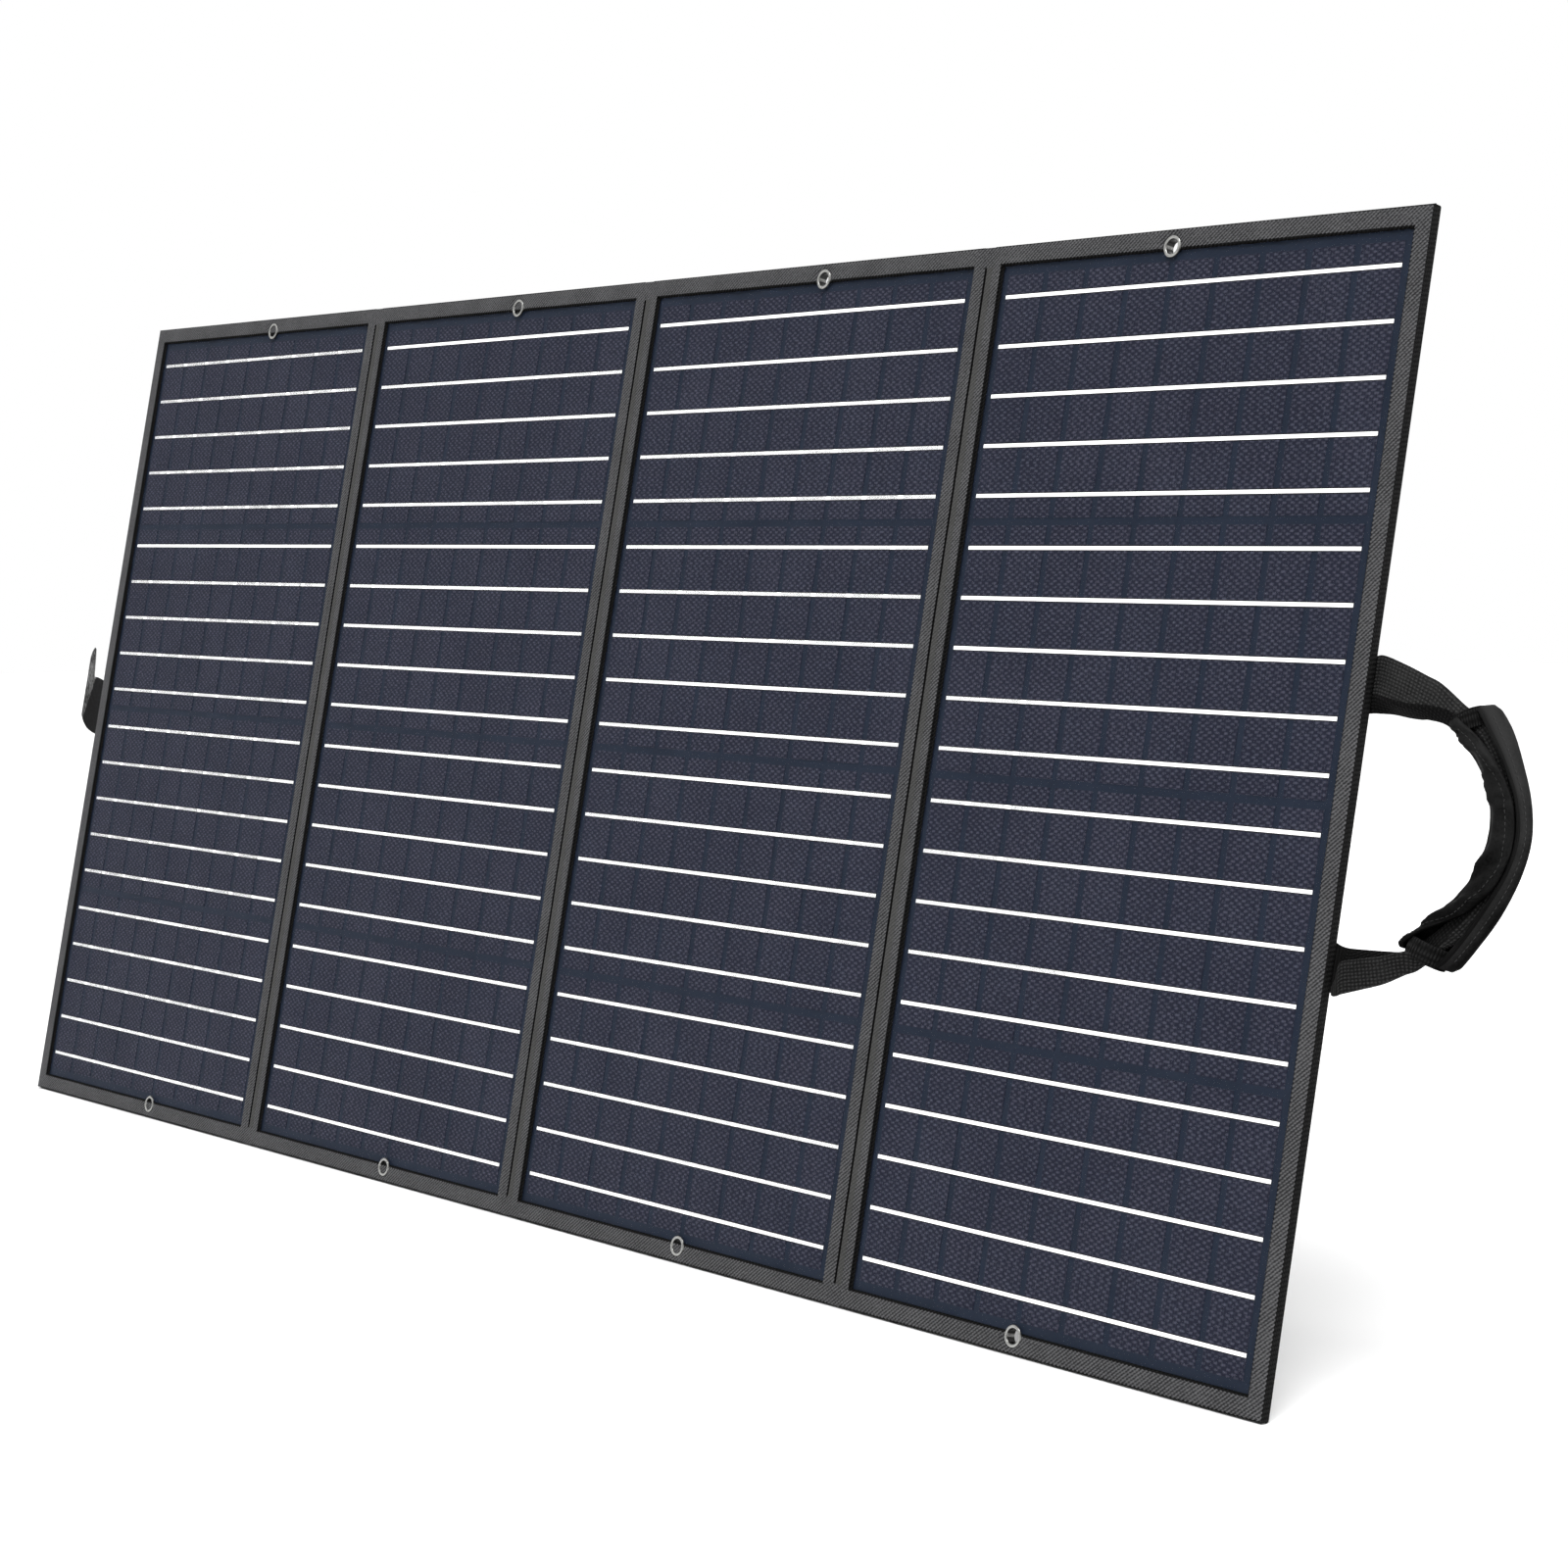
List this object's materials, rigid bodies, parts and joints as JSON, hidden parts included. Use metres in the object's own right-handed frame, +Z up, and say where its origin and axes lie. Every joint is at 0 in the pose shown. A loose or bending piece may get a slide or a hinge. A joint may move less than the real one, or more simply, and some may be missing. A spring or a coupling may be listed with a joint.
{
  "type": "folding solar panel",
  "caption": "Folding fabric-backed solar panel that stands on fold-out kickstands, with eyelets along its edges, a carry handle, a closure tab and a zipped pocket.",
  "frame": {"origin": "middle of the open panel's footprint on the ground, in the bottom plane of its bounding box, with the panel open and standing on its kickstands", "axes": "+Z up; the cells face -Y and lean back from the vertical; +X runs along the panel's width, towards the carry handle"},
  "size_m": [1.2418, 0.159, 0.5208],
  "materials": {
    "border_fabric": "charcoal twill, matt",
    "front_film": "clear satin film",
    "ribbon": "tinned, near white",
    "cell": "dark grey-blue with a fine weave",
    "backing": "navy laminate, smooth",
    "board": "fibre-reinforced sheet",
    "back_fabric": "black coated fabric",
    "eyelet": "bright nickel",
    "stand_fabric": "black coated fabric, stitched",
    "webbing": "black woven webbing",
    "grip_wrap": "smooth black foam laminate",
    "hook_loop": "black hook and loop",
    "pocket_fabric": "black fabric, stitched",
    "zip_metal": "dark nickel",
    "zip_plastic": "black moulded teeth",
    "box_plastic": "fine moulded texture",
    "circuit": "green solder mask",
    "contact": "plated steel"
  },
  "bodies": {
    "leaf_3": {"border_3": "border_fabric", "film_3": "front_film", "ribbons_3": "ribbon", "cells_3": "cell", "backing_3": "backing", "board_3": "board", "back_cloth_3": "back_fabric", "eyelets_3": "eyelet", "fold_strip_middle": "border_fabric", "fold_strip_right": "border_fabric"},
    "leaf_2": {"border_2": "border_fabric", "film_2": "front_film", "ribbons_2": "ribbon", "cells_2": "cell", "backing_2": "backing", "board_2": "board", "back_cloth_2": "back_fabric", "eyelets_2": "eyelet", "fold_strip_left": "border_fabric"},
    "leaf_1": {"border_1": "border_fabric", "film_1": "front_film", "ribbons_1": "ribbon", "cells_1": "cell", "backing_1": "backing", "board_1": "board", "back_cloth_1": "back_fabric", "eyelets_1": "eyelet", "kickstand_hinge_left": "stand_fabric", "kickstand_stay_left": "webbing", "closure_anchor": "webbing"},
    "leaf_4": {"border_4": "border_fabric", "film_4": "front_film", "ribbons_4": "ribbon", "cells_4": "cell", "backing_4": "backing", "board_4": "board", "back_cloth_4": "back_fabric", "eyelets_4": "eyelet", "kickstand_hinge_right": "stand_fabric", "kickstand_stay_right": "webbing", "handle_anchors": "webbing", "closure_loop_patch": "hook_loop", "pocket_pouch": "pocket_fabric", "zip_tape": "webbing", "zip_teeth": "zip_plastic", "control_box_base": "box_plastic", "control_box_lid": "box_plastic", "control_board": "circuit", "output_sockets": "contact", "cable_gland": "box_plastic", "box_screws": "contact"},
    "kickstand_left": {"kickstand_sleeve_left": "stand_fabric", "kickstand_board_left": "board"},
    "kickstand_right": {"kickstand_sleeve_right": "stand_fabric", "kickstand_board_right": "board"},
    "handle": {"handle_webbing": "webbing", "handle_grip": "grip_wrap"},
    "closure_tab": {"closure_tab": "hook_loop"},
    "zip_slider": {"zip_slider": "zip_metal"},
    "zip_pull": {"zip_pull": "zip_plastic"}
  },
  "joints": [
    {"name": "fold_middle", "type": "hinge", "parent": "leaf_3", "child": "leaf_2", "pos_m": [-0.02875, -0.02269, 0.25976], "axis": [0, -0.1942, -0.981], "range_deg": [0, 179]},
    {"name": "fold_left", "type": "hinge", "parent": "leaf_2", "child": "leaf_1", "pos_m": [-0.30875, -0.02897, 0.261], "axis": [0, 0.1942, 0.981], "range_deg": [0, 179]},
    {"name": "fold_right", "type": "hinge", "parent": "leaf_3", "child": "leaf_4", "pos_m": [0.25125, -0.02897, 0.261], "axis": [0, -0.1942, -0.981], "range_deg": [0, 179]},
    {"name": "kickstand_left_fold", "type": "hinge", "parent": "leaf_1", "child": "kickstand_left", "pos_m": [-0.37075, 0.0185, 0.46058], "axis": [1, 0, 0], "range_deg": [-18.5, 0], "deforming": ["kickstand_stay_left"]},
    {"name": "kickstand_right_fold", "type": "hinge", "parent": "leaf_4", "child": "kickstand_right", "pos_m": [0.31325, 0.0185, 0.46058], "axis": [1, 0, 0], "range_deg": [-18.5, 0], "deforming": ["kickstand_stay_right"]},
    {"name": "handle_swing", "type": "hinge", "parent": "leaf_4", "child": "handle", "pos_m": [0.53385, -0.02444, 0.25195], "axis": [0, 0.1942, 0.981], "range_deg": [-60, 90]},
    {"name": "closure_tab_swing", "type": "hinge", "parent": "leaf_1", "child": "closure_tab", "pos_m": [-0.59135, -0.02269, 0.26078], "axis": [0, 0.1942, 0.981], "range_deg": [-60, 90]},
    {"name": "zip_slide", "type": "slide", "parent": "leaf_4", "child": "zip_slider", "axis": [0, 0.1942, 0.981], "range_m": [0, 0.1]},
    {"name": "zip_pull_swing", "type": "hinge", "parent": "zip_slider", "child": "zip_pull", "pos_m": [0.47925, 0.0253, 0.36647], "axis": [1, 0, 0], "range_deg": [-8, 150]}
  ],
  "couplings": [
    {"joint": "fold_left", "follows": "fold_middle", "ratio": 1},
    {"joint": "fold_right", "follows": "fold_middle", "ratio": 1}
  ]
}
